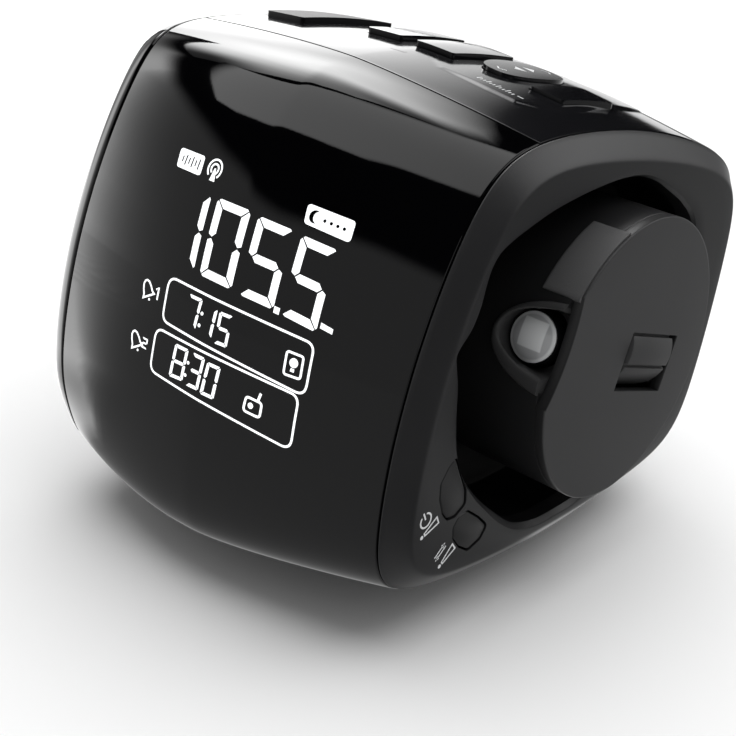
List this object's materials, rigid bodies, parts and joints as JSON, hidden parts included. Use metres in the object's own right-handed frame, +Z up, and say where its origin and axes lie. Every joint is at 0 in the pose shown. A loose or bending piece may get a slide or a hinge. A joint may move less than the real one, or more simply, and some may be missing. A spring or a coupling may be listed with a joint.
{
  "type": "projection alarm clock",
  "caption": "Compact cushion-shaped alarm clock radio with a glossy display front, top keys and a turning time projector in its right end.",
  "frame": {"origin": "on the surface the clock stands on, under the middle of its bounding box", "axes": "+Z up, +X towards the projector end (the right-hand end seen from the front), display front facing -Y"},
  "size_m": [0.1037, 0.1242, 0.0984],
  "materials": {
    "piano_black": "mirror-polished piano black",
    "top_black": "polished black",
    "satin_black": "satin, fine spark texture",
    "inner_black": "matte black",
    "drum_grey": "soft-touch dark grey",
    "pad_grey": "soft-touch grey",
    "key_black": "polished black",
    "lens_clear": "polished acrylic lens",
    "display_glass": "negative segment display",
    "diffuser": "opal",
    "circuit_board": "solder mask",
    "component_black": "moulded epoxy",
    "steel": "zinc-plated",
    "cell_jacket": "plain foil jacket",
    "acetal": "natural acetal",
    "felt": "pressed felt",
    "foot_rubber": "matte",
    "cone_paper": "pressed paper"
  },
  "bodies": {
    "housing": {"front_shell": "piano_black", "top_panel": "top_black", "rear_cover": "satin_black", "bottom_cover": "satin_black", "right_end_cap": "satin_black", "left_end_cap": "satin_black", "projector_well": "inner_black", "drum_bushing": "acetal", "friction_washer": "felt", "display_frame": "diffuser", "display_glass": "display_glass", "light_guide": "diffuser", "backlight_board": "circuit_board", "main_board": "circuit_board", "board_parts": "component_black", "board_screws": "steel", "top_key_board": "circuit_board", "top_switches": "component_black", "side_key_board": "circuit_board", "side_switches": "component_black", "speaker_basket": "steel", "speaker_cone": "cone_paper", "speaker_magnet": "component_black", "power_socket": "component_black", "aerial_grommet": "foot_rubber", "battery_tray": "inner_black", "batteries": "cell_jacket", "battery_contacts": "steel", "feet": "foot_rubber", "case_screws": "steel"},
    "battery_door": {"battery_door": "satin_black"},
    "projector": {"drum_shell": "inner_black", "drum_face": "drum_grey", "thumb_pad": "pad_grey", "lens_hood": "inner_black", "drum_hub": "acetal", "retaining_ring": "steel", "optics_frame": "component_black", "projection_slide": "display_glass", "condenser_lens": "lens_clear", "projection_led": "lens_clear", "led_board": "circuit_board"},
    "focus_wheel": {"focus_wheel": "drum_grey"},
    "lens": {"lens_barrel": "inner_black", "projector_lens": "lens_clear"},
    "key_snooze": {"key_snooze": "key_black"},
    "key_minus": {"key_minus": "key_black"},
    "key_plus": {"key_plus": "key_black"},
    "key_source": {"key_source": "key_black"},
    "tuning_rocker": {"tuning_rocker": "key_black"},
    "key_projector": {"key_projector": "satin_black"},
    "key_reverse": {"key_reverse": "satin_black"}
  },
  "joints": [
    {"name": "projector_turn", "type": "hinge", "parent": "housing", "child": "projector", "pos_m": [0.0512, 0.0018, 0.0492], "axis": [1, 0, 0], "range_deg": [-160, 20]},
    {"name": "focus_turn", "type": "hinge", "parent": "projector", "child": "focus_wheel", "pos_m": [0.0438, 0.00218, 0.05044], "axis": [0, -0.9563, 0.2924], "range_deg": [-90, 90]},
    {"name": "lens_slide", "type": "slide", "parent": "projector", "child": "lens", "axis": [0, -0.9563, 0.2924], "range_m": [-0.0012, 0.0012]},
    {"name": "snooze_press", "type": "slide", "parent": "housing", "child": "key_snooze", "axis": [0, 0, -1], "range_m": [0, 0.0008], "stiffness_N_per_m": 800},
    {"name": "minus_press", "type": "slide", "parent": "housing", "child": "key_minus", "axis": [0, 0, -1], "range_m": [0, 0.0008], "stiffness_N_per_m": 800},
    {"name": "plus_press", "type": "slide", "parent": "housing", "child": "key_plus", "axis": [0, 0, -1], "range_m": [0, 0.0008], "stiffness_N_per_m": 800},
    {"name": "source_press", "type": "slide", "parent": "housing", "child": "key_source", "axis": [0, 0, -1], "range_m": [0, 0.0008], "stiffness_N_per_m": 800},
    {"name": "tuning_rock", "type": "hinge", "parent": "housing", "child": "tuning_rocker", "pos_m": [0.0147, 0.0068, 0.0894], "axis": [1, 0, 0], "range_deg": [-2.5, 2.5], "stiffness_Nm_per_rad": 0.05},
    {"name": "projector_key_press", "type": "slide", "parent": "housing", "child": "key_projector", "axis": [-1, 0, 0], "range_m": [0, 0.0008], "stiffness_N_per_m": 800},
    {"name": "reverse_key_press", "type": "slide", "parent": "housing", "child": "key_reverse", "axis": [-1, 0, 0], "range_m": [0, 0.0008], "stiffness_N_per_m": 800},
    {"name": "battery_door_off", "type": "slide", "parent": "housing", "child": "battery_door", "axis": [0, 0, -1], "range_m": [0, 0.015]}
  ],
  "couplings": [
    {"joint": "focus_turn", "follows": "lens_slide", "rad_per_m": 1308.9}
  ]
}
